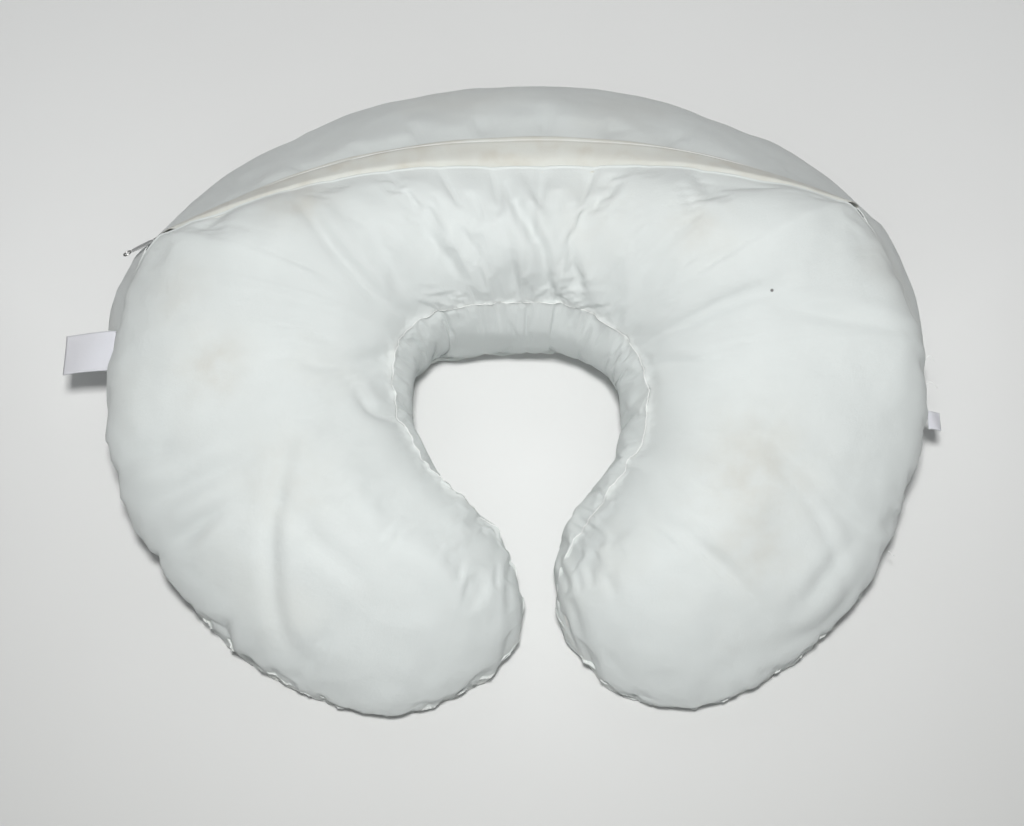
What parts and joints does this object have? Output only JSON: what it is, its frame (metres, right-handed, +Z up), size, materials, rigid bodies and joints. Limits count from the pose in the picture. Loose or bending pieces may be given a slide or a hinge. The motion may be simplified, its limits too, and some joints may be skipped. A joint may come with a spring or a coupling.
{
  "type": "nursing pillow",
  "caption": "C-shaped fibre-filled nursing pillow in a pale, matte, zipped slip cover with a sewn gusset round its waist opening, lying flat.",
  "frame": {"origin": "under the middle of the bounding box, on the surface that the pillow lies on", "axes": "+Z up out of the flat underside; -Y towards the opening between the arms, +Y towards the thick back; +X across the pillow"},
  "size_m": [0.572, 0.4364, 0.1519],
  "materials": {
    "cover_fabric": "matte woven polyester-cotton, faintly soiled",
    "casing_fabric": "matte plain-woven ticking",
    "polyester_fibre": "loose white fibre",
    "sewing_thread": "spun thread",
    "zip_tape": "woven tape",
    "zip_coil": "nylon coil",
    "zip_metal": "worn die-cast metal",
    "label_fabric": "smooth satin tape"
  },
  "bodies": {
    "pillow": {"fibre_fill": "polyester_fibre", "casing_top_panel": "casing_fabric", "casing_bottom_panel": "casing_fabric", "casing_gusset": "casing_fabric", "cover_top_panel": "cover_fabric", "cover_bottom_panel": "cover_fabric", "cover_gusset": "cover_fabric", "outer_seam_thread_left": "sewing_thread", "outer_seam_thread_right": "sewing_thread", "inner_top_seam_thread": "sewing_thread", "inner_bottom_seam_thread": "sewing_thread", "zip_lap": "cover_fabric", "zip_tape_upper": "zip_tape", "zip_tape_lower": "zip_tape", "zip_coil_upper": "zip_coil", "zip_coil_lower": "zip_coil", "zip_top_stop": "zip_metal", "zip_bottom_stop": "zip_metal"},
    "zip_slider": {"zip_slider": "zip_metal"},
    "zip_pull": {"zip_pull_tab": "zip_tape", "zip_pull_ring": "zip_metal"},
    "side_label_tab": {"side_label": "label_fabric"},
    "care_label_tab": {"care_label": "label_fabric"}
  },
  "joints": [
    {"name": "zip_slide", "type": "hinge", "parent": "pillow", "child": "zip_slider", "pos_m": [0.02538, -0.38282, -0.11716], "axis": [0, -0.4472, 0.8944], "range_deg": [-46, 0]},
    {"name": "zip_pull_swing", "type": "hinge", "parent": "zip_slider", "child": "zip_pull", "pos_m": [-0.22596, 0.0719, 0.11151], "axis": [-0.1796, 0.735, -0.6539], "range_deg": [0, 110]},
    {"name": "side_label_flap", "type": "hinge", "parent": "pillow", "child": "side_label_tab", "pos_m": [-0.25542, 0.00628, 0.08199], "axis": [0.05, 0.9987, 0], "range_deg": [-20, 35], "stiffness_Nm_per_rad": 0.002},
    {"name": "care_label_flap", "type": "hinge", "parent": "pillow", "child": "care_label_tab", "pos_m": [0.27721, -0.03466, 0.06599], "axis": [-0.05, -0.9987, 0], "range_deg": [-20, 35], "stiffness_Nm_per_rad": 0.001}
  ]
}
